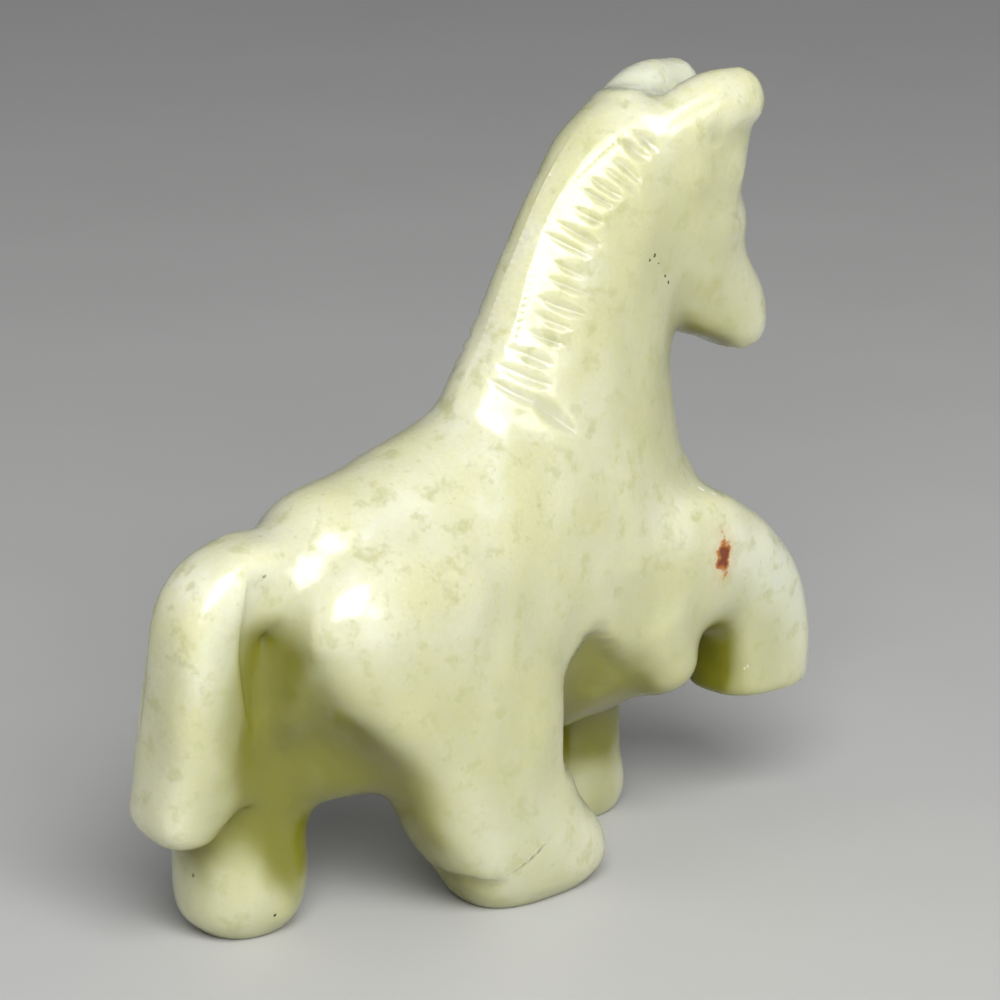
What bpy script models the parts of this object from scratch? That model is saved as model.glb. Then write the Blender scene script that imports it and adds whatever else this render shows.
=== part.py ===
"""Small polished jade horse, carved from one block of pale green stone.

The horse strides on three hooves with its right fore leg lifted. +X is forward, -Y is the horse's right,
+Z is up. The origin is on the ground under the middle of the figure. All sizes below are millimetres.
"""
import math

import bpy
import numpy as np

MM = 0.001

# Overall sizes
TRUNK_LENGTH = 35.4        # back of the buttocks to the front of the breast
TRUNK_WIDTH = 16.2         # widest place, across the barrel
CROUP_HEIGHT = 32.4        # top of the hind quarters
WITHERS_HEIGHT = 35.1      # top of the back where the neck starts
BELLY_HEIGHT = 9.9         # lowest line of the barrel
POLL_HEIGHT = 52.0         # middle of the neck's last ring, between the ears
NECK_WIDTH = 8.8           # across the upper neck
NECK_DEPTH = 15.8          # crest to throat, across the upper neck

# Head, ears and tail
HEAD_LENGTH = 16.8         # forehead to chin
HEAD_WIDTH = 9.0           # across the forehead
EAR_SPREAD = 7.2           # between the middles of the two ear tips
TAIL_WIDTH = 6.2
TAIL_THICKNESS = 6.3
TAIL_END_HEIGHT = 10.0     # middle of the tail's last ring

# Stance. The middle of the left hind hoof is x = 0 and the body's middle line is y = 0.
BUTTOCKS = 1.0             # back of the trunk
STRIDE = 19.0              # right hind hoof, forward
FORE_SETBACK = 4.0         # left fore hoof, back from the breast
LIFTED_REACH = 7.7         # lifted hoof, forward of the breast
LIFTED_HEIGHT = 9.3        # sole of the lifted hoof above the ground
LEFT_HIND_SIDE = 3.2       # sideways places, left is plus
RIGHT_HIND_SIDE = -5.2
LEFT_FORE_SIDE = 3.6
RIGHT_FORE_SIDE = -3.6

# Legs
HOOF_WIDTH = 8.6           # across the two hind hooves
FORE_HOOF_WIDTH = 7.2
LIFTED_HOOF_WIDTH = 7.0

# Front of the trunk, which the neck, the head and both fore legs are set out from
BREAST = BUTTOCKS + TRUNK_LENGTH

# Quality of the carved skin
GRAIN = 0.45               # size of the little squares that the masses are fused with
SKIN_TRIANGLES = 7200
EASE_ROUNDS = 45           # how far the hollows between masses are filled in
POLISH_ROUNDS = 6

UP = (0.0, 0.0, 1.0)
FORWARD = (1.0, 0.0, 0.0)


def clear_scene():
    for old in list(bpy.data.objects):
        bpy.data.objects.remove(old, do_unlink=True)


def smooth_rows(rows, count):
    """Rows read from a Catmull-Rom curve through the given rows, evenly spaced in row number."""
    rows = np.array(rows, dtype=float)
    padded = np.vstack([2 * rows[0] - rows[1], rows, 2 * rows[-1] - rows[-2]])
    place = np.linspace(0.0, len(rows) - 1.0, count)
    first = np.minimum(place.astype(int), len(rows) - 2)
    t = (place - first)[:, None]
    a, b, c, d = (padded[first + step] for step in range(4))
    bend = (2 * a - 5 * b + 4 * c - d) * t ** 2 + (3 * b - a - 3 * c + d) * t ** 3
    return 0.5 * (2 * b + (c - a) * t + bend)


def round_mass(rows, normal=None, square=2.0, domes=(0.8, 0.8), rings=40, sides=48, dome_rings=9):
    """Closed form through rings (x, y, z, half depth, half width), with a dome on each end.

    Each ring is a rounded section |depth|^square + |width|^square = 1. It lies across the path, or, when
    normal is given, square to that fixed direction. A dome is domes times as long as the end ring's
    smaller half size.
    """
    row = smooth_rows(rows, rings)
    centre, half = row[:, :3], row[:, 3:5]
    along = np.gradient(centre, axis=0)
    along /= np.linalg.norm(along, axis=1, keepdims=True)
    if normal is not None:
        along = np.tile(np.array(normal), (rings, 1))

    angle = np.linspace(0.0, math.pi / 2, dome_rings + 1)[1:-1]
    ends = []
    for index, sign, dome in ((0, -1.0, domes[0]), (-1, 1.0, domes[1])):
        length = sign * dome * half[index].min()
        ends.append((
            centre[index] + along[index] * (length * np.sin(angle))[:, None],
            half[index] * np.cos(angle)[:, None],
            np.tile(along[index], (len(angle), 1)),
            centre[index] + along[index] * length,
        ))
    start, finish = ends
    centre = np.vstack([start[0][::-1], centre, finish[0]])
    half = np.vstack([start[1][::-1], half, finish[1]])
    along = np.vstack([start[2][::-1], along, finish[2]])

    left = np.array([0.0, 1.0, 0.0]) - along[:, 1:2] * along
    left /= np.linalg.norm(left, axis=1, keepdims=True)
    deep = np.cross(left, along)
    turn = np.linspace(0.0, 2 * math.pi, sides, endpoint=False)
    across = np.sign(np.cos(turn)) * np.abs(np.cos(turn)) ** (2 / square)
    beside = np.sign(np.sin(turn)) * np.abs(np.sin(turn)) ** (2 / square)
    skin = (centre[:, None]
            + half[:, None, 0:1] * across[None, :, None] * deep[:, None]
            + half[:, None, 1:2] * beside[None, :, None] * left[:, None])

    count = len(centre)
    points = np.vstack([skin.reshape(-1, 3), start[3], finish[3]])
    ring, side = np.meshgrid(np.arange(count - 1), np.arange(sides), indexing="ij")
    after = (side + 1) % sides
    walls = np.stack([ring * sides + side, ring * sides + after,
                      (ring + 1) * sides + after, (ring + 1) * sides + side], axis=-1).reshape(-1, 4)
    side = np.arange(sides)
    after = (side + 1) % sides
    first_tip = np.full(sides, count * sides)
    last_ring = (count - 1) * sides
    tips = np.vstack([np.stack([first_tip, after, side], axis=-1),
                      np.stack([first_tip + 1, last_ring + side, last_ring + after], axis=-1)])
    return points, walls.tolist() + tips.tolist()


def trunk():
    """Barrel, from the buttocks to the breast: upright rings given by their top and underside."""
    half = TRUNK_WIDTH / 2
    profile = [                     # share of the length, top, underside, share of the half width
        (0.00, CROUP_HEIGHT - 2.6, BELLY_HEIGHT + 4.5, 0.62),
        (0.08, CROUP_HEIGHT - 0.8, BELLY_HEIGHT + 2.9, 0.80),
        (0.23, CROUP_HEIGHT, BELLY_HEIGHT + 0.9, 0.95),
        (0.40, WITHERS_HEIGHT - 1.2, BELLY_HEIGHT, 1.00),
        (0.56, WITHERS_HEIGHT, BELLY_HEIGHT - 0.2, 0.99),
        (0.73, WITHERS_HEIGHT - 1.3, BELLY_HEIGHT - 0.9, 0.96),
        (0.88, WITHERS_HEIGHT - 3.3, BELLY_HEIGHT - 0.5, 0.86),
        (1.00, WITHERS_HEIGHT - 5.1, BELLY_HEIGHT + 1.3, 0.72),
    ]
    rows = [(BUTTOCKS + share * TRUNK_LENGTH, 0.0, (top + low) / 2, (top - low) / 2, half * wide)
            for share, top, low, wide in profile]
    return round_mass(rows, normal=FORWARD, domes=(0.5, 0.6))


def crotch():
    """Web of stone left between the two hind thighs, under the barrel."""
    rows = [(3.0, 1.5, BELLY_HEIGHT + 2.9, 4.2, 4.0),
            (8.0, 0.0, BELLY_HEIGHT + 3.3, 4.2, 5.0),
            (14.0, -1.0, BELLY_HEIGHT + 3.3, 4.4, 5.0)]
    return round_mass(rows, normal=FORWARD, domes=(0.7, 0.7))


def right_hind_leg():
    """Striding leg: the hoof points forward and the thigh leans back into the haunch."""
    side = RIGHT_HIND_SIDE
    half = HOOF_WIDTH / 2
    rows = [(STRIDE + 0.3, side, -0.5, 4.5, half - 1.7),
            (STRIDE + 0.3, side, 0.9, 6.0, half - 0.5),
            (STRIDE + 0.1, side, 2.2, 6.7, half),
            (STRIDE - 1.0, side, 4.2, 7.2, half + 0.1),
            (STRIDE - 2.9, side + 0.1, 7.0, 7.1, half + 0.1),
            (STRIDE - 4.0, side + 0.2, 10.0, 7.2, half + 0.2),
            (STRIDE - 5.3, side + 0.4, 14.0, 8.5, half + 0.4),
            (STRIDE * 0.5 + 2.0, side + 0.8, 18.0, 10.2, half + 0.5),
            (STRIDE * 0.3 + 3.4, side + 1.2, CROUP_HEIGHT - 9.4, 10.1, half + 0.6)]
    return round_mass(rows, normal=UP, square=2.6, domes=(0.05, 1.3))


def left_hind_leg():
    """Standing hind leg, straight down below the tail."""
    side = LEFT_HIND_SIDE
    half = HOOF_WIDTH / 2
    rows = [(0.1, side, -0.5, 2.3, half - 2.0),
            (0.1, side, 0.5, 3.6, half - 1.0),
            (0.0, side, 1.7, 4.4, half - 0.3),
            (0.0, side, 3.4, 4.7, half),
            (0.1, side + 0.1, 5.2, 4.7, half),
            (0.3, side + 0.3, 7.4, 4.8, half - 0.1),
            (1.4, side + 0.8, 11.5, 5.9, half),
            (4.4, side + 0.9, 17.5, 8.0, half),
            (7.0, side + 0.5, CROUP_HEIGHT - 10.4, 8.2, half + 0.1)]
    return round_mass(rows, normal=UP, square=2.3, domes=(0.05, 1.3))


def left_fore_leg():
    """Standing fore leg, under the breast."""
    side = LEFT_FORE_SIDE
    half = FORE_HOOF_WIDTH / 2
    stance = BREAST - FORE_SETBACK
    rows = [(stance, side, -0.5, 2.9, half - 1.1),
            (stance, side, 0.7, 3.8, half - 0.2),
            (stance, side, 2.4, 4.1, half),
            (stance - 0.1, side, 4.6, 3.8, half - 0.2),
            (stance - 0.1, side, 7.2, 3.7, half - 0.1),
            (stance - 0.6, side, BELLY_HEIGHT + 2.6, 4.2, half + 0.1),
            (stance - 1.2, side, BELLY_HEIGHT + 8.1, 5.0, half + 0.4)]
    return round_mass(rows, normal=UP, square=2.3, domes=(0.05, 0.8))


def right_fore_leg():
    """Lifted leg: forward out of the shoulder, over the knee, and down to the square hoof."""
    side = RIGHT_FORE_SIDE
    half = LIFTED_HOOF_WIDTH / 2
    reach = BREAST + LIFTED_REACH
    sole = LIFTED_HEIGHT
    rows = [(reach - 13.1, side, sole + 11.1, 6.4, half + 0.5),
            (reach - 8.1, side - 0.2, sole + 11.4, 5.6, half + 0.5),
            (reach - 3.5, side - 0.1, sole + 9.8, 4.4, half + 0.2),
            (reach - 1.1, side, sole + 6.8, 4.4, half + 0.1),
            (reach - 0.3, side, sole + 3.3, 4.5, half),
            (reach - 0.3, side, sole, 4.3, half - 0.1)]
    return round_mass(rows, square=3.0, domes=(0.8, 0.1))


def elbow():
    """Point of the lifted leg's elbow, hanging below the shoulder."""
    side = RIGHT_FORE_SIDE - 0.7
    sole = LIFTED_HEIGHT
    rows = [(BREAST - 4.4, side + 0.1, sole + 8.2, 4.6, 3.8),
            (BREAST - 3.8, side, sole + 6.5, 4.0, 3.5),
            (BREAST - 3.2, side, sole + 4.6, 3.3, 3.2)]
    return round_mass(rows, domes=(0.8, 0.9))


def neck():
    """Tall arched neck, deep where it leaves the trunk, leaning forward up to the poll."""
    half = NECK_WIDTH / 2
    deep = NECK_DEPTH / 2
    rise = POLL_HEIGHT - WITHERS_HEIGHT
    profile = [                     # share of the rise, back from the breast, half depth, half width
        (-0.72, 10.6, deep + 4.9, half + 3.6),
        (-0.42, 9.6, deep + 4.3, half + 2.4),
        (-0.15, 8.7, deep + 2.8, half + 1.3),
        (0.14, 7.4, deep + 1.2, half + 0.5),
        (0.48, 5.4, deep, half),
        (0.78, 2.9, deep - 1.2, half - 0.1),
        (1.00, 0.1, deep - 3.2, half - 0.1),
    ]
    rows = [(BREAST - back, 0.0, WITHERS_HEIGHT + share * rise, depth, width)
            for share, back, depth, width in profile]
    return round_mass(rows, domes=(0.5, 0.5))


def head():
    """Wedge of the head in level rings, its face nearly upright and its jaw sloping down to the chin."""
    half = HEAD_WIDTH / 2
    profile = [                     # share of the length, front and back of the ring, half width
        (0.00, 5.6, -3.5, half),
        (0.14, 6.6, -3.2, half),
        (0.28, 7.8, -2.9, half - 0.1),
        (0.40, 8.3, -2.7, half - 0.3),
        (0.50, 8.3, -2.5, half - 0.6),
        (0.60, 9.4, -2.2, half - 0.9),
        (0.69, 10.5, -1.6, half - 1.1),
        (0.78, 11.1, 0.2, half - 1.3),
        (0.86, 11.2, 2.8, half - 1.5),
        (0.93, 10.9, 5.4, half - 1.8),
        (0.99, 10.0, 7.4, half - 2.4),
    ]
    rows = [(BREAST + (front + rear) / 2, 0.0, POLL_HEIGHT - 1.1 - share * HEAD_LENGTH,
             (front - rear) / 2, wide) for share, front, rear, wide in profile]
    return round_mass(rows, normal=UP, square=2.4, domes=(0.8, 0.3))


def ear(side):
    """Blunt ear, a thick ridge along the top of the head ending in a forward tip; side is 1 or -1.

    The left ear lies a little lower, and flatter at its tip, than the right one.
    """
    tip = EAR_SPREAD / 2
    drop = 0.35 * (side + 1)
    rows = [(BREAST - 1.4, side * (tip - 1.3), POLL_HEIGHT - 0.5, 2.8, 2.2),
            (BREAST + 2.4, side * (tip - 0.5), POLL_HEIGHT + 1.1 - drop * 0.3, 2.9, 2.3),
            (BREAST + 5.5 + drop, side * tip, POLL_HEIGHT + 1.9 - drop * 0.9, 2.3, 1.9)]
    return round_mass(rows, domes=(0.9, 1.0))


def temple(side):
    """Side of the head between the ear, the brow and the cheek, flush with all three; side is 1 or -1."""
    out = HEAD_WIDTH / 2 - 2.3
    rows = [(BREAST - 3.0, side * (out - 0.2), POLL_HEIGHT - 2.6, 3.6, 2.2),
            (BREAST + 0.8, side * out, POLL_HEIGHT - 2.4, 4.0, 2.6),
            (BREAST + 4.4, side * (out + 0.2), POLL_HEIGHT - 1.8, 4.0, 2.4)]
    return round_mass(rows, square=2.3, domes=(0.8, 0.8))


def brow(side):
    """Ridge from the ear tip down over the eye; side is 1 or -1."""
    out = HEAD_WIDTH / 2 - 1.7
    rows = [(BREAST + 4.4, side * out, POLL_HEIGHT - 0.4, 2.5, 2.0),
            (BREAST + 4.4, side * (out - 0.2), POLL_HEIGHT - 2.6, 2.4, 1.9),
            (BREAST + 4.7, side * (out - 0.7), POLL_HEIGHT - 5.2, 2.0, 1.8)]
    return round_mass(rows, domes=(0.8, 0.8))


def tail():
    """Tail lifted from the croup, bent over and hanging as a smooth slab."""
    width = TAIL_WIDTH / 2
    thick = TAIL_THICKNESS / 2
    root = CROUP_HEIGHT - 5.0
    rows = [(2.0, 0.0, root - 1.2, thick - 0.4, width),
            (-1.8, 0.1, root - 0.6, thick - 0.1, width),
            (-4.8, 0.5, root - 2.9, thick + 0.3, width + 0.1),
            (-5.4, 1.0, root * 0.7 + 0.5, thick + 0.1, width + 0.3),
            (-5.6, 1.9, TAIL_END_HEIGHT + 4.0, thick - 0.1, width + 0.4),
            (-6.2, 2.5, TAIL_END_HEIGHT, thick - 0.3, width + 0.1)]
    return round_mass(rows, square=2.9, domes=(0.8, 0.75))


def tail_web():
    """Stone left between the tail and the left haunch, at the bottom of the groove beside the tail."""
    width = TAIL_WIDTH / 2 - 0.5
    rows = [(-1.6, 0.4, CROUP_HEIGHT - 8.0, 3.4, width - 0.8),
            (-2.8, 1.4, CROUP_HEIGHT * 0.5 + 1.8, 3.6, width),
            (-3.3, 1.9, TAIL_END_HEIGHT + 4.0, 3.8, width + 0.6),
            (-2.9, 2.1, TAIL_END_HEIGHT - 0.6, 3.6, width + 0.8)]
    return round_mass(rows, normal=UP, square=2.8, domes=(0.8, 0.8))


def fuse(masses):
    """One mesh from overlapping masses: joined, then skinned by a voxel remesh. Returns points and quads."""
    points, faces, start = [], [], 0
    for mass_points, mass_faces in masses:
        points.append(mass_points * MM)
        faces += [[corner + start for corner in face] for face in mass_faces]
        start += len(mass_points)
    mesh = bpy.data.meshes.new("masses")
    mesh.from_pydata(np.vstack(points).tolist(), [], faces)
    block = bpy.data.objects.new("masses", mesh)
    bpy.context.collection.objects.link(block)
    remesh = block.modifiers.new("Fuse", "REMESH")
    remesh.mode = "VOXEL"
    remesh.voxel_size = GRAIN * MM
    skin = bpy.data.meshes.new_from_object(block.evaluated_get(bpy.context.evaluated_depsgraph_get()))
    bpy.data.objects.remove(block, do_unlink=True)
    bpy.data.meshes.remove(mesh)

    points = np.empty(len(skin.vertices) * 3)
    skin.vertices.foreach_get("co", points)
    quads = np.empty(len(skin.loops), dtype=int)
    skin.loops.foreach_get("vertex_index", quads)
    bpy.data.meshes.remove(skin)
    return points.reshape(-1, 3), quads.reshape(-1, 4)


def work_surface(points, quads):
    """Carve marks away: fill the sharp hollows between masses, then polish without shrinking."""
    edges = np.vstack([quads[:, [0, 1]], quads[:, [1, 2]], quads[:, [2, 3]], quads[:, [3, 0]]])
    total = len(points)
    degree = np.bincount(edges.ravel(), minlength=total)[:, None]

    def pull(place):
        near = np.stack([np.bincount(edges[:, 0], place[edges[:, 1], k], total)
                         + np.bincount(edges[:, 1], place[edges[:, 0], k], total) for k in range(3)], axis=-1)
        return near / degree - place

    def outward(place):
        a, b, c, d = (place[quads[:, k]] for k in range(4))
        face = np.cross(c - a, d - b)
        normal = np.stack([sum(np.bincount(quads[:, j], face[:, k], total) for j in range(4))
                           for k in range(3)], axis=-1)
        return normal / np.linalg.norm(normal, axis=1, keepdims=True)

    for _ in range(3):
        points = points + 0.5 * pull(points)
    for _ in range(EASE_ROUNDS):
        normal = outward(points)
        rise = np.maximum((pull(points) * normal).sum(axis=1, keepdims=True), 0.0)
        points = points + 0.7 * rise * normal
    for _ in range(POLISH_ROUNDS):
        points = points + 0.5 * pull(points)
        points = points - 0.52 * pull(points)
    return points


def jade():
    """Pale yellow-green nephrite-like stone with a wet polish."""
    stone = bpy.data.materials.new("pale_jade")
    stone.use_nodes = True
    shader = stone.node_tree.nodes["Principled BSDF"]
    shader.inputs["Base Color"].default_value = (0.56, 0.58, 0.33, 1.0)
    shader.inputs["Roughness"].default_value = 0.22
    shader.inputs["Metallic"].default_value = 0.0
    return stone


def ground_cutter():
    """Block below the ground; its top face trims the three soles flat and level."""
    size = 120.0 * MM
    bpy.ops.mesh.primitive_cube_add(size=size, location=(0.0, 0.0, -size / 2))
    cutter = bpy.context.active_object
    cutter.name = "ground_cutter"
    cutter.hide_render = True
    cutter.display_type = "WIRE"
    return cutter


def carve_horse():
    masses = [trunk(), crotch(), right_hind_leg(), left_hind_leg(), left_fore_leg(), right_fore_leg(),
              elbow(), neck(), head(), ear(1), ear(-1), temple(1), temple(-1),
              brow(1), brow(-1), tail(), tail_web()]
    points, quads = fuse(masses)
    points = work_surface(points, quads)
    middle = (points.min(axis=0) + points.max(axis=0)) / 2
    points[:, :2] -= middle[:2]

    mesh = bpy.data.meshes.new("horse_carving")
    mesh.from_pydata(points.tolist(), [], quads.tolist())
    mesh.shade_smooth()
    mesh.materials.append(jade())
    horse = bpy.data.objects.new("horse_carving", mesh)
    bpy.context.collection.objects.link(horse)

    thin = horse.modifiers.new("Thin", "DECIMATE")
    thin.ratio = SKIN_TRIANGLES / (2 * len(quads))
    soles = horse.modifiers.new("Soles", "BOOLEAN")
    soles.operation = "DIFFERENCE"
    soles.solver = "EXACT"
    soles.object = ground_cutter()
    return horse


clear_scene()
carve_horse()
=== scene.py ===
import math

import bmesh
import bpy
import numpy as np
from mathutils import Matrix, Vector


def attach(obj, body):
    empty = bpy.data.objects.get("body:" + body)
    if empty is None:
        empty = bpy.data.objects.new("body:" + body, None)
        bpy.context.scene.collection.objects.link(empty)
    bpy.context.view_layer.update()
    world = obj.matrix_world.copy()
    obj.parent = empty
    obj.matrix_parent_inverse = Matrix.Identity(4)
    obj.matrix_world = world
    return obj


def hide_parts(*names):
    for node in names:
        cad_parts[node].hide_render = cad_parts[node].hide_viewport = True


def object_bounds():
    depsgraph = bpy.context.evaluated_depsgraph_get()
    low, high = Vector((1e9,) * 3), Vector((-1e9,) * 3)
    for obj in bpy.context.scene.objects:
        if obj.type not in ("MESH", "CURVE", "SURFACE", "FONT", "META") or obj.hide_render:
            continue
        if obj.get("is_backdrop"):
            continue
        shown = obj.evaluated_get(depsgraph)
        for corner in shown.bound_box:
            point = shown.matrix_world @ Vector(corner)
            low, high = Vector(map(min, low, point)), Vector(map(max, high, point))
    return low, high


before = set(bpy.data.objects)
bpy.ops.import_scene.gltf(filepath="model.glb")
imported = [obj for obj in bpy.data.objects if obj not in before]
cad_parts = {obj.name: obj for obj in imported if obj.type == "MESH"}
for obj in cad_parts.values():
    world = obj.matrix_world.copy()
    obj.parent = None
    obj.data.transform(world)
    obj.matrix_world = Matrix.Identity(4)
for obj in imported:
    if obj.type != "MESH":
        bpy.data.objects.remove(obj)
cad_low, cad_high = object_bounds()

# ---- The block, roughed out to its round masses -------------------------------------------------
# The horse is one block of pale green jade. The carver first leaves it as a few round masses, which
# run into each other. Sizes are millimetres; +X is forward and -Y is the horse's right. x = 0 is the
# middle of the left hind hoof until the figure is set into the CAD's box.

MM = 0.001
FORWARD = (1.0, 0.0, 0.0)
UP = (0.0, 0.0, 1.0)

trunk_back = 1.0
trunk_length = 35.4
trunk_width = 16.2
breast = trunk_back + trunk_length
croup = 32.4
withers = 35.1
belly = 9.9


def curve_through(rows, count):
    """Catmull-Rom curve: between two rows each column is the cubic whose slopes there are half the
    difference of the rows on either side. Returns count rows, evenly spaced in row number."""
    rows = np.array(rows, dtype=float)
    padded = np.vstack([2 * rows[0] - rows[1], rows, 2 * rows[-1] - rows[-2]])
    place = np.linspace(0.0, len(rows) - 1.0, count)
    first = np.minimum(place.astype(int), len(rows) - 2)
    t = (place - first)[:, None]
    a, b, c, d = (padded[first + step] for step in range(4))
    bend = (2 * a - 5 * b + 4 * c - d) * t ** 2 + (3 * b - a - 3 * c + d) * t ** 3
    return 0.5 * (2 * b + (c - a) * t + bend)


def round_mass(rows, normal=None, square=2.0, domes=(0.8, 0.8), rings=40, sides=48, dome_rings=9):
    """Rounded section carried along a path, closed by a dome at each end.

    A row is (x, y, z, half depth, half width). The section is |depth|^square + |width|^square = 1, lying
    across the path, or square to normal where that is given. In a dome the ring at angle a is cos(a) of
    the end ring, and sin(a) of the dome's length beyond it; domes gives the lengths as a multiple of the
    end ring's smaller half size. Returns the points and the faces.
    """
    row = curve_through(rows, rings)
    centre, half = row[:, :3], row[:, 3:5]
    along = np.gradient(centre, axis=0)
    along /= np.linalg.norm(along, axis=1, keepdims=True)
    if normal is not None:
        along = np.tile(np.array(normal), (rings, 1))

    angle = np.linspace(0.0, math.pi / 2, dome_rings + 1)[1:-1]
    ends = []
    for index, sign, dome in ((0, -1.0, domes[0]), (-1, 1.0, domes[1])):
        length = sign * dome * half[index].min()
        ends.append((
            centre[index] + along[index] * (length * np.sin(angle))[:, None],
            half[index] * np.cos(angle)[:, None],
            np.tile(along[index], (len(angle), 1)),
            centre[index] + along[index] * length,
        ))
    start, finish = ends
    centre = np.vstack([start[0][::-1], centre, finish[0]])
    half = np.vstack([start[1][::-1], half, finish[1]])
    along = np.vstack([start[2][::-1], along, finish[2]])

    left = np.array([0.0, 1.0, 0.0]) - along[:, 1:2] * along
    left /= np.linalg.norm(left, axis=1, keepdims=True)
    deep = np.cross(left, along)
    turn = np.linspace(0.0, 2 * math.pi, sides, endpoint=False)
    across = np.sign(np.cos(turn)) * np.abs(np.cos(turn)) ** (2 / square)
    beside = np.sign(np.sin(turn)) * np.abs(np.sin(turn)) ** (2 / square)
    skin = (centre[:, None]
            + half[:, None, 0:1] * across[None, :, None] * deep[:, None]
            + half[:, None, 1:2] * beside[None, :, None] * left[:, None])

    count = len(centre)
    points = np.vstack([skin.reshape(-1, 3), start[3], finish[3]])
    ring, side = np.meshgrid(np.arange(count - 1), np.arange(sides), indexing="ij")
    after = (side + 1) % sides
    walls = np.stack([ring * sides + side, ring * sides + after,
                      (ring + 1) * sides + after, (ring + 1) * sides + side], axis=-1).reshape(-1, 4)
    side = np.arange(sides)
    after = (side + 1) % sides
    last_ring = (count - 1) * sides
    first_tip = np.full(sides, count * sides)
    tips = np.vstack([np.stack([first_tip, after, side], axis=-1),
                      np.stack([first_tip + 1, last_ring + side, last_ring + after], axis=-1)])
    return points, walls.tolist() + tips.tolist()


def barrel():
    """Barrel, from the buttocks to the breast: upright rings given by their top and underside."""
    half = trunk_width / 2
    profile = [                     # share of the length, top, underside, share of the half width
        (0.00, croup - 2.6, belly + 4.5, 0.62),
        (0.08, croup - 0.8, belly + 2.9, 0.80),
        (0.23, croup, belly + 0.9, 0.95),
        (0.40, withers - 1.2, belly, 1.00),
        (0.56, withers, belly - 0.2, 0.99),
        (0.73, withers - 1.3, belly - 0.9, 0.96),
        (0.88, withers - 3.3, belly - 0.5, 0.86),
        (1.00, withers - 5.1, belly + 1.3, 0.72),
    ]
    rows = [(trunk_back + share * trunk_length, 0.0, (top + low) / 2, (top - low) / 2, half * wide)
            for share, top, low, wide in profile]
    return round_mass(rows, normal=FORWARD, domes=(0.5, 0.6))


def crotch():
    """Web of stone left between the two hind thighs, under the barrel."""
    rows = [(3.0, 1.5, belly + 2.9, 4.2, 4.0),
            (8.0, 0.0, belly + 3.3, 4.2, 5.0),
            (14.0, -1.0, belly + 3.3, 4.4, 5.0)]
    return round_mass(rows, normal=FORWARD, domes=(0.7, 0.7))


masses = [barrel(), crotch()]

# ---- Legs ---------------------------------------------------------------------------------------
# Four thick legs, cut short in the soft rounded way of small animal carvings. Three stand on the ground,
# the right hind one striding forward; the right fore leg is lifted, with its hoof hanging square.

hind_hoof = 8.6                     # widths
fore_hoof = 7.2
lifted_hoof = 7.0
left_hind_side = 3.2                # sideways places, left is plus
right_hind_side = -5.2
left_fore_side = 3.6
right_fore_side = -3.6
stride = 19.0                       # right hind hoof, forward of the left one
fore_setback = 4.0                  # left fore hoof, back from the breast
lifted_reach = 7.7                  # lifted hoof, forward of the breast
lifted_height = 9.3                 # its sole, above the ground


def right_hind_leg():
    """Striding leg: the hoof points forward and the thigh leans back into the haunch."""
    side = right_hind_side
    half = hind_hoof / 2
    rows = [(stride + 0.3, side, -0.5, 4.5, half - 1.7),
            (stride + 0.3, side, 0.9, 6.0, half - 0.5),
            (stride + 0.1, side, 2.2, 6.7, half),
            (stride - 1.0, side, 4.2, 7.2, half + 0.1),
            (stride - 2.9, side + 0.1, 7.0, 7.1, half + 0.1),
            (stride - 4.0, side + 0.2, 10.0, 7.2, half + 0.2),
            (stride - 5.3, side + 0.4, 14.0, 8.5, half + 0.4),
            (stride * 0.5 + 2.0, side + 0.8, 18.0, 10.2, half + 0.5),
            (stride * 0.3 + 3.4, side + 1.2, croup - 9.4, 10.1, half + 0.6)]
    return round_mass(rows, normal=UP, square=2.6, domes=(0.05, 1.3))


def left_hind_leg():
    """Standing hind leg, straight down below the tail."""
    side = left_hind_side
    half = hind_hoof / 2
    rows = [(0.1, side, -0.5, 2.3, half - 2.0),
            (0.1, side, 0.5, 3.6, half - 1.0),
            (0.0, side, 1.7, 4.4, half - 0.3),
            (0.0, side, 3.4, 4.7, half),
            (0.1, side + 0.1, 5.2, 4.7, half),
            (0.3, side + 0.3, 7.4, 4.8, half - 0.1),
            (1.4, side + 0.8, 11.5, 5.9, half),
            (4.4, side + 0.9, 17.5, 8.0, half),
            (7.0, side + 0.5, croup - 10.4, 8.2, half + 0.1)]
    return round_mass(rows, normal=UP, square=2.3, domes=(0.05, 1.3))


def left_fore_leg():
    """Standing fore leg, under the breast."""
    side = left_fore_side
    half = fore_hoof / 2
    stance = breast - fore_setback
    rows = [(stance, side, -0.5, 2.9, half - 1.1),
            (stance, side, 0.7, 3.8, half - 0.2),
            (stance, side, 2.4, 4.1, half),
            (stance - 0.1, side, 4.6, 3.8, half - 0.2),
            (stance - 0.1, side, 7.2, 3.7, half - 0.1),
            (stance - 0.6, side, belly + 2.6, 4.2, half + 0.1),
            (stance - 1.2, side, belly + 8.1, 5.0, half + 0.4)]
    return round_mass(rows, normal=UP, square=2.3, domes=(0.05, 0.8))


def right_fore_leg():
    """Lifted leg: forward out of the shoulder, over the knee, and down to the square hoof."""
    side = right_fore_side
    half = lifted_hoof / 2
    reach = breast + lifted_reach
    sole = lifted_height
    rows = [(reach - 13.1, side, sole + 11.1, 6.4, half + 0.5),
            (reach - 8.1, side - 0.2, sole + 11.4, 5.6, half + 0.5),
            (reach - 3.5, side - 0.1, sole + 9.8, 4.4, half + 0.2),
            (reach - 1.1, side, sole + 6.8, 4.4, half + 0.1),
            (reach - 0.3, side, sole + 3.3, 4.5, half),
            (reach - 0.3, side, sole, 4.3, half - 0.1)]
    return round_mass(rows, square=3.0, domes=(0.8, 0.1))


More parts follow.
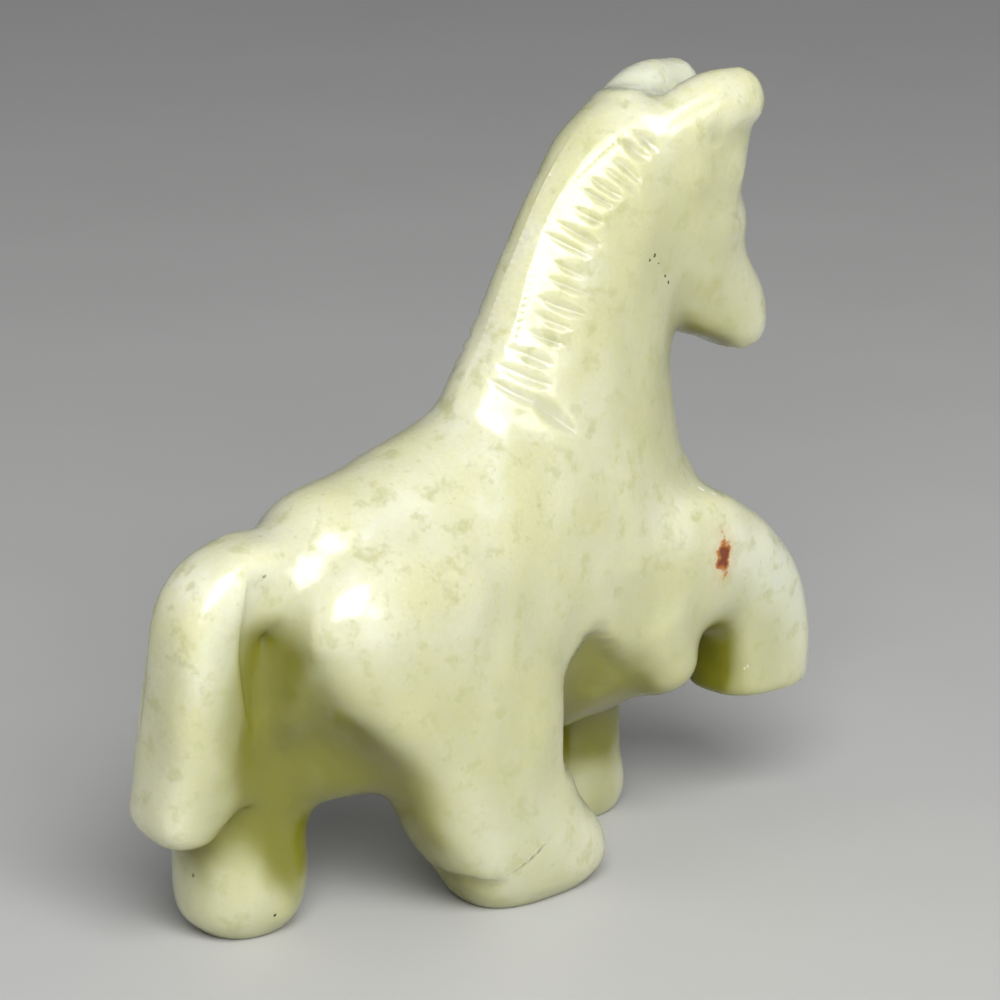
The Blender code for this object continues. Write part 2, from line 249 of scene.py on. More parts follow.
def elbow():
    """Point of the lifted leg's elbow, hanging below the shoulder."""
    side = right_fore_side - 0.7
    sole = lifted_height
    rows = [(breast - 4.4, side + 0.1, sole + 8.2, 4.6, 3.8),
            (breast - 3.8, side, sole + 6.5, 4.0, 3.5),
            (breast - 3.2, side, sole + 4.6, 3.3, 3.2)]
    return round_mass(rows, domes=(0.8, 0.9))


masses += [right_hind_leg(), left_hind_leg(), left_fore_leg(), right_fore_leg(), elbow()]

# ---- Neck, head and ears ------------------------------------------------------------------------
# The arched neck leaves the trunk deep and leans forward to the poll. The head is a plain wedge with
# an upright face. Each ear is a thick ridge along the top of the head; a brow runs down from its tip.

neck_width = 8.8
neck_depth = 15.8
poll = 52.0
head_length = 16.8
head_width = 9.0
ear_spread = 7.2


def neck():
    """Tall arched neck, deep where it leaves the trunk, leaning forward up to the poll."""
    half = neck_width / 2
    deep = neck_depth / 2
    rise = poll - withers
    profile = [                     # share of the rise, back from the breast, half depth, half width
        (-0.72, 10.6, deep + 4.9, half + 3.6),
        (-0.42, 9.6, deep + 4.3, half + 2.4),
        (-0.15, 8.7, deep + 2.8, half + 1.3),
        (0.14, 7.4, deep + 1.2, half + 0.5),
        (0.48, 5.4, deep, half),
        (0.78, 2.9, deep - 1.2, half - 0.1),
        (1.00, 0.1, deep - 3.2, half - 0.1),
    ]
    rows = [(breast - back, 0.0, withers + share * rise, depth, width)
            for share, back, depth, width in profile]
    return round_mass(rows, domes=(0.5, 0.5))


def head():
    """Wedge of the head in level rings, its face nearly upright and its jaw sloping down to the chin."""
    half = head_width / 2
    profile = [                     # share of the length, front and back of the ring, half width
        (0.00, 5.6, -3.5, half),
        (0.14, 6.6, -3.2, half),
        (0.28, 7.8, -2.9, half - 0.1),
        (0.40, 8.3, -2.7, half - 0.3),
        (0.50, 8.3, -2.5, half - 0.6),
        (0.60, 9.4, -2.2, half - 0.9),
        (0.69, 10.5, -1.6, half - 1.1),
        (0.78, 11.1, 0.2, half - 1.3),
        (0.86, 11.2, 2.8, half - 1.5),
        (0.93, 10.9, 5.4, half - 1.8),
        (0.99, 10.0, 7.4, half - 2.4),
    ]
    rows = [(breast + (front + rear) / 2, 0.0, poll - 1.1 - share * head_length,
             (front - rear) / 2, wide) for share, front, rear, wide in profile]
    return round_mass(rows, normal=UP, square=2.4, domes=(0.8, 0.3))


def ear(side):
    """Blunt ear, a thick ridge along the top of the head ending in a forward tip; side is 1 or -1.

    The left ear lies a little lower, and flatter at its tip, than the right one.
    """
    tip = ear_spread / 2
    drop = 0.35 * (side + 1)
    rows = [(breast - 1.4, side * (tip - 1.3), poll - 0.5, 2.8, 2.2),
            (breast + 2.4, side * (tip - 0.5), poll + 1.1 - drop * 0.3, 2.9, 2.3),
            (breast + 5.5 + drop, side * tip, poll + 1.9 - drop * 0.9, 2.3, 1.9)]
    return round_mass(rows, domes=(0.9, 1.0))


def temple(side):
    """Side of the head, flush with the ear, the brow and the cheek around it; side is 1 or -1."""
    out = head_width / 2 - 2.3
    rows = [(breast - 3.0, side * (out - 0.2), poll - 2.6, 3.6, 2.2),
            (breast + 0.8, side * out, poll - 2.4, 4.0, 2.6),
            (breast + 4.4, side * (out + 0.2), poll - 1.8, 4.0, 2.4)]
    return round_mass(rows, square=2.3, domes=(0.8, 0.8))


def brow(side):
    """Ridge from the ear tip down over the eye; side is 1 or -1."""
    out = head_width / 2 - 1.7
    rows = [(breast + 4.4, side * out, poll - 0.4, 2.5, 2.0),
            (breast + 4.4, side * (out - 0.2), poll - 2.6, 2.4, 1.9),
            (breast + 4.7, side * (out - 0.7), poll - 5.2, 2.0, 1.8)]
    return round_mass(rows, domes=(0.8, 0.8))


masses += [neck(), head(), ear(1), ear(-1), temple(1), temple(-1), brow(1), brow(-1)]

# ---- Tail ---------------------------------------------------------------------------------------
# A smooth slab lifted from the croup, bent over and hanging clear behind the right haunch. On the other
# side the stone was left standing, so the tail is one with the back of the left hind leg.

tail_width = 6.2
tail_thickness = 6.3
tail_end = 10.0


def tail():
    """Tail lifted from the croup, bent over and hanging as a smooth slab."""
    width = tail_width / 2
    thick = tail_thickness / 2
    root = croup - 5.0
    rows = [(2.0, 0.0, root - 1.2, thick - 0.4, width),
            (-1.8, 0.1, root - 0.6, thick - 0.1, width),
            (-4.8, 0.5, root - 2.9, thick + 0.3, width + 0.1),
            (-5.4, 1.0, root * 0.7 + 0.5, thick + 0.1, width + 0.3),
            (-5.6, 1.9, tail_end + 4.0, thick - 0.1, width + 0.4),
            (-6.2, 2.5, tail_end, thick - 0.3, width + 0.1)]
    return round_mass(rows, square=2.9, domes=(0.8, 0.75))


def tail_web():
    """Stone left between the tail and the left haunch, at the bottom of the groove beside the tail."""
    width = tail_width / 2 - 0.5
    rows = [(-1.6, 0.4, croup - 8.0, 3.4, width - 0.8),
            (-2.8, 1.4, croup * 0.5 + 1.8, 3.6, width),
            (-3.3, 1.9, tail_end + 4.0, 3.8, width + 0.6),
            (-2.9, 2.1, tail_end - 0.6, 3.6, width + 0.8)]
    return round_mass(rows, normal=UP, square=2.8, domes=(0.8, 0.8))


masses += [tail(), tail_web()]

# ---- The worked skin ----------------------------------------------------------------------------
# The masses are ground together into one continuous surface, the hollows where they meet are opened up,
# and the whole is polished. The soles are then lapped flat, so that the horse stands on three hooves.

grain = 0.34                        # the skin's squares
first_rounds = 4                    # take the steps of the squares off
ease_rounds = 85                    # fill the sharp hollows between masses
tail_end_rounds = 150               # fill again, where the tail's end runs into the leg
tail_end_place = (0.6, 0.2, 10.5)
tail_end_reach = (4.0, 3.4, 3.4)
polish_rounds = 8


def link(mesh):
    """Both ends of every edge, and the number of edges at each vertex."""
    edges = np.empty(2 * len(mesh.edges), dtype=int)
    mesh.edges.foreach_get("vertices", edges)
    return edges.reshape(-1, 2), np.bincount(edges, minlength=len(mesh.vertices))[:, None]


def pull(place, edges, degree):
    """From each point to the mean of its neighbours."""
    near = np.stack([
        np.bincount(edges[:, 0], place[edges[:, 1], k], len(place))
        + np.bincount(edges[:, 1], place[edges[:, 0], k], len(place)) for k in range(3)], axis=-1)
    return near / degree - place


def places(mesh):
    """Where the vertices are, one row each."""
    co = np.empty(3 * len(mesh.vertices))
    mesh.vertices.foreach_get("co", co)
    return co.reshape(-1, 3)


def outward(mesh, place):
    """Vertex normals once the vertices are moved to place."""
    mesh.vertices.foreach_set("co", place.ravel())
    mesh.update()
    normal = np.empty(3 * len(mesh.vertices))
    mesh.vertex_normals.foreach_get("vector", normal)
    return normal.reshape(-1, 3)


def ground_together(masses):
    """One closed mesh around overlapping masses, in squares the size of the grain."""
    points, faces, start = [], [], 0
    for mass_points, mass_faces in masses:
        points.append(mass_points)
        faces += [[corner + start for corner in face] for face in mass_faces]
        start += len(mass_points)
    rough = bpy.data.meshes.new("masses")
    rough.from_pydata(np.vstack(points).tolist(), [], faces)
    block = bpy.data.objects.new("masses", rough)
    bpy.context.collection.objects.link(block)
    remesh = block.modifiers.new("Grind", "REMESH")
    remesh.mode = "VOXEL"
    remesh.voxel_size = grain
    skin = bpy.data.meshes.new_from_object(block.evaluated_get(bpy.context.evaluated_depsgraph_get()))
    bpy.data.objects.remove(block, do_unlink=True)
    bpy.data.meshes.remove(rough)
    return skin


def filled(mesh, place, edges, degree):
    """The way out of a hollow: a point below the mean of its neighbours goes seven tenths of the way to
    it, along its own normal, and the others stay."""
    normal = outward(mesh, place)
    rise = np.maximum((pull(place, edges, degree) * normal).sum(axis=1, keepdims=True), 0.0)
    return 0.7 * rise * normal


skin = ground_together(masses)
edges, degree = link(skin)
place = places(skin)
for _ in range(first_rounds):
    place = place + 0.5 * pull(place, edges, degree)
for _ in range(ease_rounds):
    place = place + filled(skin, place, edges, degree)
below_tail = np.exp(-(((place - tail_end_place) / tail_end_reach) ** 2).sum(axis=1, keepdims=True))
for _ in range(tail_end_rounds):
    place = place + filled(skin, place, edges, degree) * below_tail
    place = place + 0.25 * pull(place, edges, degree) * below_tail
for _ in range(polish_rounds):      # in, and a little more than out again, so that nothing shrinks
    place = place + 0.5 * pull(place, edges, degree)
    place = place - 0.52 * pull(place, edges, degree)

low, high = place.min(axis=0), place.max(axis=0)
box_low, box_high = np.array(cad_low) / MM, np.array(cad_high) / MM
draw = (box_high - box_low)[:2] / (high - low)[:2]
place[:, :2] = (place[:, :2] - (high + low)[:2] / 2) * draw + (box_high + box_low)[:2] / 2
place[:, 2] *= box_high[2] / high[2]
place[:, 2] = np.maximum(place[:, 2], 0.0)
outward(skin, place)

# ---- Finer squares where the wheel cut detail ---------------------------------------------------
# The mane and the eyes are the only closely worked places, so the squares around them are halved
# before the marks are cut.


def halve(mesh, chosen):
    """Splits the chosen faces in four, and leaves the rest."""
    work = bmesh.new()
    work.from_mesh(mesh)
    work.faces.ensure_lookup_table()
    cut = {edge for index in np.flatnonzero(chosen) for edge in work.faces[index].edges}
    bmesh.ops.subdivide_edges(work, edges=list(cut), cuts=1, use_grid_fill=True)
    work.to_mesh(mesh)
    work.free()


centre = np.empty(3 * len(skin.polygons))
skin.polygons.foreach_get("center", centre)
centre = centre.reshape(-1, 3)
mane_line = np.array([(12.4, 53.0), (9.0, 51.1), (6.0, 48.4), (3.8, 44.6), (2.0, 40.8), (0.0, 36.6)])
mane_middle = curve_through(mane_line, 80) + (0.5, -0.4)
mane_reach, eye_reach = 4.8, 2.0
off_mane = np.linalg.norm(centre[:, None, ::2] - mane_middle[None], axis=2).min(axis=1)
off_eye = np.linalg.norm(centre[:, ::2] - (22.0, 45.2), axis=1)
halve(skin, (off_mane < mane_reach) | (off_eye < eye_reach))
edges, degree = link(skin)
place = places(skin)
for share in (0.5, -0.51) * 3:      # polished again, all but the soles
    shift = pull(place, edges, degree)
    shift[place[:, 2] < 0.5] = 0.0
    place = place + share * shift

# ---- Mane ---------------------------------------------------------------------------------------
# A row of short slanting strokes down each side of the neck, each a lens-shaped hollow ground with the
# edge of a small wheel. They start along one line just below the crest, where they leave a low step.

level_rounds = 25                   # evens out the directions that the cuts go in
normal = outward(skin, place)
for _ in range(level_rounds):
    normal = normal + 0.5 * pull(normal, edges, degree)
normal /= np.linalg.norm(normal, axis=1, keepdims=True)
cut = np.zeros(len(place))          # how deep the surface goes in, along its normal
line = np.zeros(len(place))         # where a cut has kept dirt and polish


def step(low, high, value):
    """Smooth step: 3t^2 - 2t^3, with t running from 0 at low to 1 at high."""
    t = np.clip((value - low) / (high - low), 0.0, 1.0)
    return t * t * (3 - 2 * t)


def on_side(x, z, side):
    """Nearest point of the skin to (x, z), seen from that side; side is 1 or -1."""
    gap = (place[:, 0] - x) ** 2 + (place[:, 2] - z) ** 2 + np.where(place[:, 1] * side > 0.3, 0.0, 1e6)
    return place[gap.argmin()]


def nearest(spot):
    """Nearest point of the skin to a spot."""
    return place[((place - spot) ** 2).sum(axis=1).argmin()]


def along(route, reach, count=40):
    """Skin points within reach of the curve through route, their offset from it, and their share of its
    length. The offset leaves out the part along the skin's own normal."""
    curve = curve_through(route, count)
    box = (place > curve.min(axis=0) - reach) & (place < curve.max(axis=0) + reach)
    index = np.flatnonzero(box.all(axis=1))
    offset = place[index][:, None] - curve[None]
    share = (offset ** 2).sum(axis=2).argmin(axis=1)
    offset = offset[np.arange(len(index)), share]
    offset = offset - (offset * normal[index]).sum(axis=1, keepdims=True) * normal[index]
    return index, offset, share / (count - 1)


def gouge(route, width, depth, dirt=0.0):
    """Lens-shaped hollow: across it the depth is 1 - q^2, and its half width and depth swell and fade
    along it as sin(pi s)^0.6."""
    index, offset, share = along(route, width * 2)
    swell = np.sin(math.pi * np.clip(share, 0.02, 0.98)) ** 0.6
    q = np.linalg.norm(offset, axis=1) / (width / 2 * swell)
    hollow = np.maximum(1 - q * q, 0.0) * swell
    cut[index] = np.maximum(cut[index], depth * hollow)
    line[index] = np.maximum(line[index], dirt * np.maximum(1 - 2.2 * q, 0.0))


chance = np.random.default_rng(7)
mane_strokes = 17
dirty_stroke = 5                    # the one that has kept dirt
stroke_run = np.array([(1.3, -1.2), (2.5, -2.3), (2.8, -2.2), (3.0, -1.8), (3.0, -1.7), (2.5, -1.5)])
starts = curve_through(mane_line, mane_strokes)
runs = curve_through(stroke_run, mane_strokes)
stages = (0.0, 0.5, 1.0)            # start, middle and end of a stroke
for side in (-1, 1):
    for number in range(mane_strokes):
        run = runs[number] * chance.uniform(0.85, 1.25)
        x, z = starts[number] + chance.normal(0.0, 0.16, 2) - run * chance.uniform(0.0, 0.16)
        dx, dz = run + chance.normal(0.0, 0.18, 2)
        sag = chance.uniform(0.1, 0.5)
        route = [on_side(x + s * dx, z + s * dz - sag * s * (1 - s), side) for s in stages]
        width, depth = chance.uniform(0.9, 1.4), chance.uniform(0.2, 0.4)
        gouge(route, width, depth, dirt=0.5 * (number == dirty_stroke))
    route = [on_side(1.3 + s * 3.2, 36.2 - s * 3.4, side) for s in stages]
    gouge(route, width=1.7, depth=0.42)

# ---- Face, ears, tail and hooves ----------------------------------------------------------------
# The rest is marked with a few strokes: the eyelids, the crease beside each ear, the mane's step, the
# hoof's crown and heel, and the hollows that part the tail from the haunch and the thigh from the belly.


def scratch(route, width, depth, dirt=0.0):
    """Thin V-shaped stroke: across it the depth is 1 - q, fading in and out along it."""
    index, offset, share = along([nearest(spot) for spot in route], width * 2)
    fade = np.sin(math.pi * np.clip(share, 0.02, 0.98)) ** 0.5
    q = np.linalg.norm(offset, axis=1) / (width / 2)
    notch = np.maximum(1 - q, 0.0) * fade
    cut[index] = np.maximum(cut[index], depth * notch)
    line[index] = np.maximum(line[index], dirt * notch)


def undercut(route, toward, width, depth, lip):
    """Hollow with one steep side: it drops within lip of the line, and runs out over width towards the
    direction given. Both are smooth steps, and it fades at the ends of the line."""
    index, offset, share = along([nearest(spot) for spot in route], width * 1.4)
    across = offset @ (np.array(toward) / np.linalg.norm(toward))
    shape = step(-lip / 2, lip / 2, across) * (1 - step(lip, width, across))
    fade = step(0.0, 0.18, share) * (1 - step(0.8, 1.0, share))
    cut[index] = np.maximum(cut[index], depth * shape * fade)


for side in (-1, 1):
    eyelid = [(20.9, 3.7 * side, 45.6), (22.1, 3.4 * side, 45.2), (23.2, 3.0 * side, 44.2)]
    beside_ear = [(20.5, 1.2 * side, 54.4), (18.4, 1.3 * side, 54.2), (16.2, 1.7 * side, 53.8),
                  (14.4, 2.4 * side, 53.3)]
    mane_step = [on_side(x, z, side) for x, z in mane_line]
    scratch(eyelid, width=0.5, depth=0.14, dirt=0.3)
    undercut(beside_ear, (0.2, -side, 0.0), width=1.8, depth=0.22, lip=0.7)
    undercut(mane_step, (0.75, 0.0, -0.66), width=3.4, depth=0.2, lip=0.35)

hoof_crown = [(-5.5, -8.3, 3.3), (-3.6, -8.9, 4.2), (-1.8, -9.0, 5.1)]
heel = [(-8.0, -3.0, 3.2), (-8.2, -6.1, 3.4), (-7.0, -7.6, 3.0), (-5.0, -8.4, 2.8)]
beside_tail = [(-23.2, -2.4, 29.2), (-23.5, -2.2, 27.0), (-23.8, -2.0, 24.0), (-23.6, -1.6, 21.0),
               (-22.9, -1.0, 18.2), (-22.0, -0.4, 15.6)]
flank = [(5.6, -7.4, 19.6), (3.6, -7.4, 17.6), (1.9, -7.4, 15.0), (1.0, -7.6, 12.0), (0.8, -7.6, 8.0)]
scratch(hoof_crown, width=0.4, depth=0.12, dirt=0.8)
undercut(heel, (0.3, 0.0, -1.0), width=1.6, depth=0.3, lip=0.5)
undercut(beside_tail, (1.0, -0.5, 0.0), width=3.6, depth=0.45, lip=0.7)
undercut(flank, (1.0, 0.1, 0.1), width=5.5, depth=0.9, lip=1.4)

waves = 14                          # the slight waviness that polishing by hand leaves
wave_height = 0.014
for _ in range(waves):
    heading = chance.normal(size=3)
    wave = place @ (heading / np.linalg.norm(heading)) / chance.uniform(0.6, 1.2)
    cut += wave_height * np.sin(wave + chance.uniform(0.0, 2 * math.pi)) * step(0.2, 1.5, place[:, 2])
place = place - cut[:, None] * normal

# ---- The stone ----------------------------------------------------------------------------------
# Pale yellow-green nephrite, cloudy white in places, with small grey-green mottles and one rust-red iron
# stain on the lifted shoulder. It has a wet hand polish. Painted light makes it paler where it is thin,
# as if lit through, and painted shade turns it olive in the recesses that see little sky and on the
# cheek.

horse = bpy.data.objects.new("horse", skin)
bpy.context.collection.objects.link(horse)
skin.name = "horse"
skin.shade_smooth()


def attribute(name, values):
    """Gives the skin one number a vertex, for the stone's material to read."""
    layer = skin.attributes.new(name, "FLOAT", "POINT")
    layer.data.foreach_set("value", values.astype(np.float32))


def solid_cells(cell, low):
    """1 in the cells inside the stone and 0 outside: up each column of cells the faces' shares of its
    area are added, those that face down as plus and those that face up as minus, then the sums are
    averaged with their neighbours and rounded."""
    count = len(skin.polygons)
    centre, facing, area = np.empty(3 * count), np.empty(3 * count), np.empty(count)
    skin.polygons.foreach_get("center", centre)
    skin.polygons.foreach_get("normal", facing)
    skin.polygons.foreach_get("area", area)
    at = ((centre.reshape(-1, 3) - low) / cell).astype(int)
    cells = np.zeros(((place.max(axis=0) - low) / cell).astype(int) + 2)
    np.add.at(cells, tuple(at.T), -facing[2::3] * area / cell ** 2)
    cells = np.cumsum(cells, axis=2)
    for axis in (0, 1):
        cells = (np.roll(cells, 1, axis) + 2 * cells + np.roll(cells, -1, axis)) / 4
    return (cells > 0.5).astype(float)


def stone_ahead(start, heading, steps):
    """How many of the steps from each start along the heading lie in stone."""
    met = np.zeros(len(start))
    for out in steps:
        at = ((start + heading * out - grid_low) / cell).astype(int)
        at = np.clip(at, 0, np.array(cells.shape) - 1)
        met += cells[tuple(at.T)]
    return met


# sky is the share of the upper half of the sky that a point sees, counted along rays spread evenly
# over it and dimmed by each step in stone. thick is how much stone lies behind it, up to 12 mm. The
# material turns low sky into painted shade, and little stone behind into painted light.
normal = outward(skin, place)
cell = 0.6
grid_low = place.min(axis=0) - 2 * cell
cells = solid_cells(cell, grid_low)
rays = 20
turn_between_rays = 2.4
dimming = 1.1
soften_rounds = 12
sky = np.zeros(len(place))
for number in range(rays):
    rise = (number + 0.5) / rays
    turn = number * turn_between_rays
    flat = math.sqrt(1 - rise * rise)
    heading = np.array([math.cos(turn) * flat, math.sin(turn) * flat, rise])
    sky += np.exp(-dimming * stone_ahead(place + normal * 0.8, heading, np.arange(0.8, 13.0, 0.9)))
sky /= rays
thick = stone_ahead(place, -normal, np.arange(cell, 12.0, cell)) * cell
edges, degree = link(skin)
for _ in range(soften_rounds):
    soft = np.stack([sky, thick, sky], axis=1)
    soft += 0.5 * pull(soft, edges, degree)
    sky, thick = soft[:, 0], soft[:, 1]
thin = 1 - step(4.0, 8.5, thick)
outward(skin, place * MM)
# sky and thin feed painted shade and painted light in the stone's colour.
attribute("sky", sky)
attribute("thin", thin)
attribute("line", line)


class Wire:
    """A shader socket in Python arithmetic: each operation adds its Math node."""

    def __init__(self, finish, socket):
        self.finish = finish
        self.socket = socket

    def math(self, operation, *values):
        return self.finish.node("ShaderNodeMath", {"operation": operation}, dict(enumerate(values)))

    def __add__(self, other):
        return self.math("ADD", self, other)

    def __sub__(self, other):
        return self.math("SUBTRACT", self, other)

    def __rsub__(self, other):
        return self.math("SUBTRACT", other, self)

    def __mul__(self, other):
        return self.math("MULTIPLY", self, other)

    __radd__ = __add__
    __rmul__ = __mul__


class Finish:
    """One material's node tree."""

    def __init__(self, name):
        self.material = bpy.data.materials.new(name)
        self.material.use_nodes = True
        self.tree = self.material.node_tree
        self.tree.nodes.clear()

    def node(self, kind, settings=None, inputs=None, output=0):
        """Adds a node: its settings first, then its sockets' values or links."""
        node = self.tree.nodes.new(kind)
        for name, value in (settings or {}).items():
            setattr(node, name, value)
        for name, value in (inputs or {}).items():
            if isinstance(value, Wire):
                self.tree.links.new(value.socket, node.inputs[name])
            else:
                node.inputs[name].default_value = value
        return Wire(self, node.outputs[output]) if node.outputs else None

    def between(self, value, low, high):
        """0 below low, 1 above high, smooth between; low may be the larger."""
        return self.node("ShaderNodeMapRange", {"interpolation_type": "SMOOTHSTEP"},
                         {"Value": value, "From Min": low, "From Max": high})

    def mix(self, factor, a, b):
        """Colour a turning to colour b as factor goes from 0 to 1."""
        return self.node("ShaderNodeMix", {"data_type": "RGBA"}, {0: factor, 6: a, 7: b}, output=2)

    def noise(self, where, scale, detail=2.0, roughness=0.5, distortion=0.0):
        """Cloudy grey; scale is its coarsest lumps per unit of where."""
        return self.node("ShaderNodeTexNoise", None, {
            "Vector": where, "Scale": scale, "Detail": detail, "Roughness": roughness,
            "Distortion": distortion})


def jade():
    """Base colour, roughness and bump of the stone, from places in millimetres and the skin's
    attributes. The colour carries painted shade in the recesses and on the cheek, and painted light
    where the stone is thin.
    """
    stone = Finish("pale_jade")
    where = stone.node("ShaderNodeVectorMath", {"operation": "SCALE"}, {
        "Vector": stone.node("ShaderNodeTexCoord", output=3), "Scale": 1000.0})
    sky = stone.node("ShaderNodeAttribute", {"attribute_name": "sky"}, output=2)
    thin = stone.node("ShaderNodeAttribute", {"attribute_name": "thin"}, output=2)
    line = stone.node("ShaderNodeAttribute", {"attribute_name": "line"}, output=2)

    def near(spot, stretch=(1.0, 1.0, 1.0)):
        """Distance from a spot, in millimetres, with each axis multiplied by its stretch."""
        offset = stone.node("ShaderNodeVectorMath", {"operation": "SUBTRACT"}, {0: where, 1: spot})
        offset = stone.node("ShaderNodeVectorMath", {"operation": "MULTIPLY"}, {0: offset, 1: stretch})
        return stone.node("ShaderNodeVectorMath", {"operation": "LENGTH"}, {0: offset}, output=1)

    warm = stone.noise(where, 0.09, detail=2.0)
    cloud = stone.noise(where, 0.17, detail=4.0, roughness=0.6, distortion=0.4)
    mottle = stone.noise(where, 0.62, detail=3.0, roughness=0.55)
    speck = stone.noise(where, 1.7, detail=2.0)
    fine = stone.noise(where, 3.2, detail=3.0, roughness=0.6)

    colour = stone.mix(stone.between(warm, 0.35, 0.65), (0.62, 0.62, 0.385, 1), (0.67, 0.67, 0.49, 1))
    colour = stone.mix(stone.between(cloud, 0.44, 0.74) * 0.75, colour, (0.74, 0.75, 0.63, 1))
    # Painted light: paler where the stone is thin, standing in for light shining through it.
    colour = stone.mix(thin * 0.5, colour, (0.68, 0.71, 0.60, 1))
    # Painted shade: an olive patch on the cheek, where the head is out of the light.
    painted_cheek_shade = stone.between(near((19.7, -2.2, 40.2)) + (cloud - 0.5) * 5, 2.2, 0.6)
    colour = stone.mix(painted_cheek_shade * 0.6, colour, (0.34, 0.30, 0.07, 1))
    for spot, size in (((-4.5, -8.0, 5.0), 7.0), ((22.5, -6.0, 17.0), 8.0), ((17.0, 3.0, 54.5), 4.5)):
        bleached = stone.between(near(spot) + (cloud - 0.5) * 14, size, size * 0.3)
        colour = stone.mix(bleached * 0.55, colour, (0.69, 0.72, 0.64, 1))
    colour = stone.mix(stone.between(mottle, 0.52, 0.70) * 0.55, colour, (0.45, 0.46, 0.22, 1))
    colour = stone.mix(stone.between(speck, 0.62, 0.84) * 0.45, colour, (0.38, 0.40, 0.18, 1))
    colour = stone.mix(stone.between(fine, 0.40, 0.80) * 0.16, colour, (0.86, 0.85, 0.66, 1))
    # Painted shade: duller, then deep olive, where a point sees little sky, as in the recesses, under
    # the jaw and belly and between the legs.
    colour = stone.mix(stone.between(sky, 0.80, 0.46) * 0.75, colour, (0.48, 0.485, 0.25, 1))
    colour = stone.mix(stone.between(sky, 0.56, 0.30) * 0.97, colour, (0.20, 0.195, 0.003, 1))
    colour = stone.mix(stone.between(line, 0.1, 0.9), colour, (0.13, 0.12, 0.04, 1))

    reach = near((17.2, -7.2, 21.5), (0.8, 0.5, 0.5)) + (stone.noise(where, 1.3) - 0.5) * 1.3
    colour = stone.mix(stone.between(reach, 1.5, 0.6) * 0.3, colour, (0.58, 0.38, 0.17, 1))
    colour = stone.mix(stone.between(reach, 0.72, 0.52), colour, (0.44, 0.15, 0.01, 1))
    colour = stone.mix(stone.between(reach, 0.5, 0.25), colour, (0.19, 0.035, 0.002, 1))

    pits = 0.0
    for spot, size in (
            ((13.4, -3.6, 43.9), 0.22), ((12.8, -3.7, 43.7), 0.16), ((14.8, -3.3, 42.1), 0.16),
            ((16.1, -2.7, 40.7), 0.2), ((15.8, -2.7, 40.0), 0.16), ((-24.3, 3.4, 5.0), 0.26),
            ((-19.9, -0.2, 1.9), 0.16), ((-22.0, -2.3, 27.7), 0.3), ((-28.0, 1.0, 11.0), 0.14),
            ((3.6, 0.0, 47.0), 0.16), ((13.9, -3.5, 43.2), 0.12), ((15.2, -3.1, 41.5), 0.13),
            ((16.4, -2.6, 39.5), 0.14), ((17.6, -2.6, 37.4), 0.16)):
        rim = near(spot) + (fine - 0.5) * 0.3
        pits = stone.between(rim, size, size * 0.5) + pits
    colour = stone.mix(pits, colour, (0.06, 0.06, 0.02, 1))

    chips = 0.0
    for spot, size in (
            ((-22.1, 0.0, 16.3), 0.55), ((-22.0, -0.2, 17.2), 0.3), ((-19.3, -5.0, 21.7), 0.3),
            ((17.0, -5.0, 26.1), 0.3), ((17.7, -5.4, 25.7), 0.3), ((16.4, -4.8, 26.6), 0.25),
            ((21.1, -5.7, 11.7), 0.35), ((20.7, -5.6, 13.7), 0.3)):
        chips = stone.between(near(spot) + (fine - 0.5) * 0.9, size, size * 0.4) + chips
    colour = stone.mix(chips, colour, (0.86, 0.87, 0.78, 1))

    rough = 0.15 + stone.noise(where, 0.5, detail=3.0) * 0.16 + line * 0.3
    wave = stone.noise(where, 0.5, detail=2.0)
    grit = stone.noise(where, 5.0, detail=3.0)
    height = wave * 1.4 + grit * 0.1 - pits * 1.5 - chips * 0.8
    bump = stone.node("ShaderNodeBump", None, {"Strength": 0.6, "Distance": 0.0001, "Height": height})
    shader = stone.node("ShaderNodeBsdfPrincipled", None, {
        "Base Color": colour, "Roughness": rough, "Normal": bump,
        "IOR": 1.61, "Subsurface Weight": 1.0, "Subsurface Radius": (1.0, 0.95, 0.45),
        "Subsurface Scale": 0.002, "Coat Weight": 0.3, "Coat Roughness": 0.06})
    stone.node("ShaderNodeOutputMaterial", None, {"Surface": shader})
    return stone.material


skin.materials.clear()
skin.materials.append(jade())
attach(horse, "root")
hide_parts("horse_carving")

# ---- Floor, light and camera --------------------------------------------------------------------
# A plain pale table under a large soft light from above the camera, with a small one low beside it and
# a weak fill from behind the horse. The camera looks at the horse's right side from a little behind.


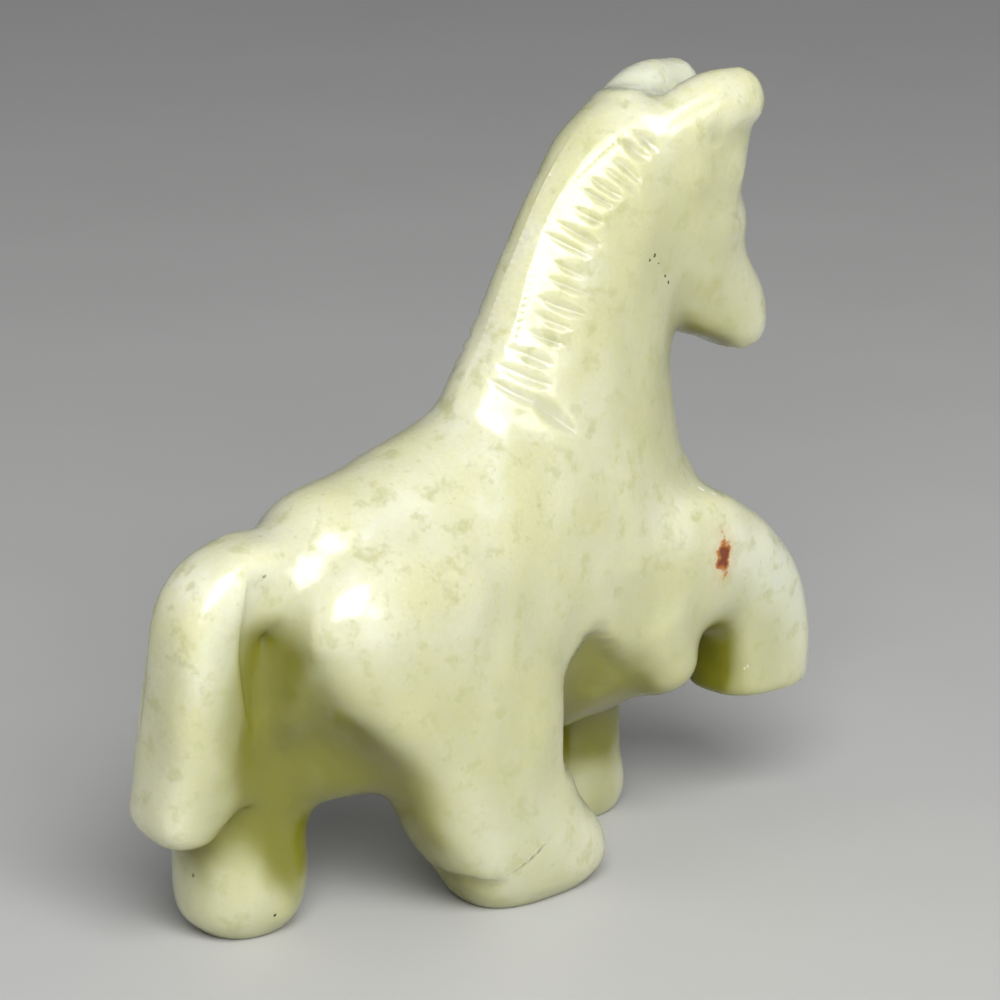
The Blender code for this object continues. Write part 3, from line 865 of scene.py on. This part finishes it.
def table():
    """Square table top with its faintly uneven paint."""
    half = 1.5
    mesh = bpy.data.meshes.new("table")
    corners = [(-half, -half, 0), (half, -half, 0), (half, half, 0), (-half, half, 0)]
    mesh.from_pydata(corners, [], [(0, 1, 2, 3)])
    floor = bpy.data.objects.new("table", mesh)
    bpy.context.collection.objects.link(floor)
    paint = Finish("table_paint")
    where = paint.node("ShaderNodeTexCoord", output=3)
    tone = paint.noise(where, 40.0, detail=3.0)
    colour = paint.mix(tone, (0.50, 0.50, 0.49, 1), (0.54, 0.54, 0.53, 1))
    shader = paint.node("ShaderNodeBsdfPrincipled", None, {"Base Color": colour, "Roughness": 0.55})
    paint.node("ShaderNodeOutputMaterial", None, {"Surface": shader})
    mesh.materials.append(paint.material)
    return floor


def around(azimuth, elevation, distance, target):
    """The place at that distance from target; azimuth 0 is towards -Y, elevation above the horizon."""
    turn, rise = math.radians(azimuth), math.radians(elevation)
    flat = math.cos(rise)
    return target + distance * Vector((math.sin(turn) * flat, -math.cos(turn) * flat, math.sin(rise)))


def soft_light(name, azimuth, elevation, distance, size, watts):
    """Rectangular lamp turned to look_at."""
    lamp = bpy.data.lights.new(name, "AREA")
    lamp.shape = "RECTANGLE"
    lamp.size, lamp.size_y = size
    lamp.energy = watts
    light = bpy.data.objects.new(name, lamp)
    bpy.context.collection.objects.link(light)
    light.location = around(azimuth, elevation, distance, look_at)
    light.rotation_euler = (look_at - light.location).to_track_quat("-Z", "Y").to_euler()


middle = (cad_low + cad_high) / 2
look_at = middle + Vector((1.32, -0.46, -0.4)) * MM
table()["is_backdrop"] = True
soft_light("key", -30, 42, 0.45, (0.36, 0.34), 2.8)
soft_light("side", 4, 20, 0.5, (0.12, 0.16), 0.28)
soft_light("fill", -120, 40, 0.6, (0.4, 0.3), 0.3)

world = bpy.data.worlds.new("room")
world.use_nodes = True
world.node_tree.nodes["Background"].inputs["Color"].default_value = (0.86, 0.88, 0.9, 1)
world.node_tree.nodes["Background"].inputs["Strength"].default_value = 0.15
bpy.context.scene.world = world
bpy.context.scene.view_settings.view_transform = "Standard"

view_distance = 0.35
view_span = 0.0707                  # width of the picture at look_at
lens = bpy.data.cameras.new("camera")
lens.sensor_width = 36.0
lens.lens = lens.sensor_width * view_distance / view_span
lens.clip_start = 0.01
camera = bpy.data.objects.new("camera", lens)
bpy.context.collection.objects.link(camera)
camera.location = around(-43, 18, view_distance, look_at)
camera.rotation_euler = (look_at - camera.location).to_track_quat("-Z", "Y").to_euler()
bpy.context.scene.camera = camera

low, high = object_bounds()
